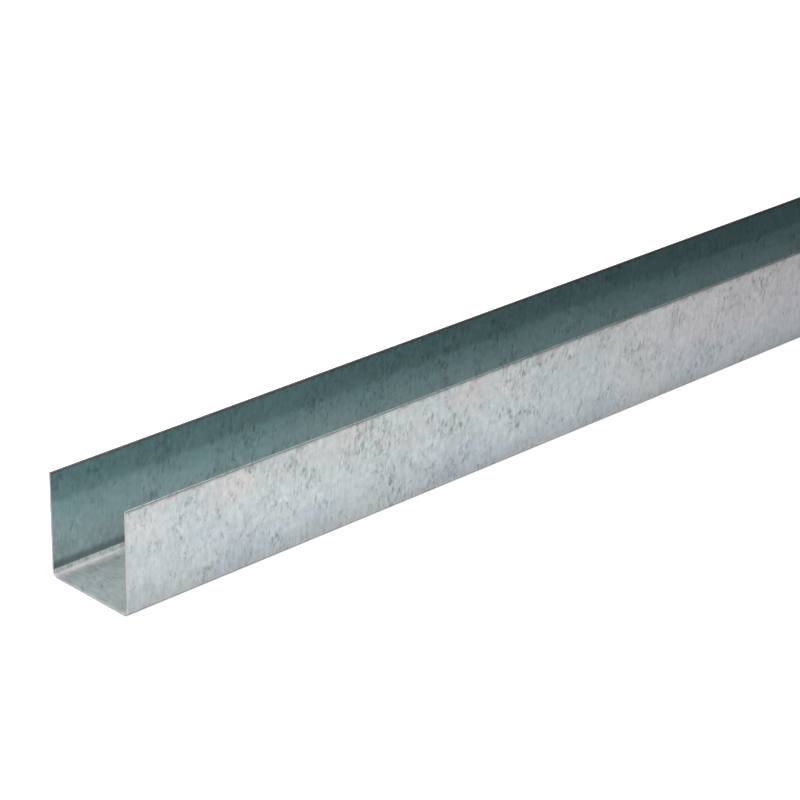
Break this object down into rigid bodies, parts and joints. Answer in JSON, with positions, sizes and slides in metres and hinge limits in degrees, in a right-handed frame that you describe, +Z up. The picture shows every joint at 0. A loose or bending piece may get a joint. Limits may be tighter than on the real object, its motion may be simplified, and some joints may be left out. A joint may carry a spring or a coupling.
{
  "type": "drywall ceiling track",
  "caption": "Plain U-shaped galvanised steel perimeter track, open along its top, that takes the ends of ceiling channels and the edge of plasterboard.",
  "frame": {"origin": "middle of the web's outer face, halfway along the length", "axes": "+X along the length, +Y across the web, +Z up from the web to the open side"},
  "size_m": [3, 0.028, 0.027],
  "materials": {
    "galvanised_steel": "hot-dip galvanised, fine spangle, satin"
  },
  "bodies": {
    "root": {"ceiling_track": "galvanised_steel"}
  },
  "joints": []
}
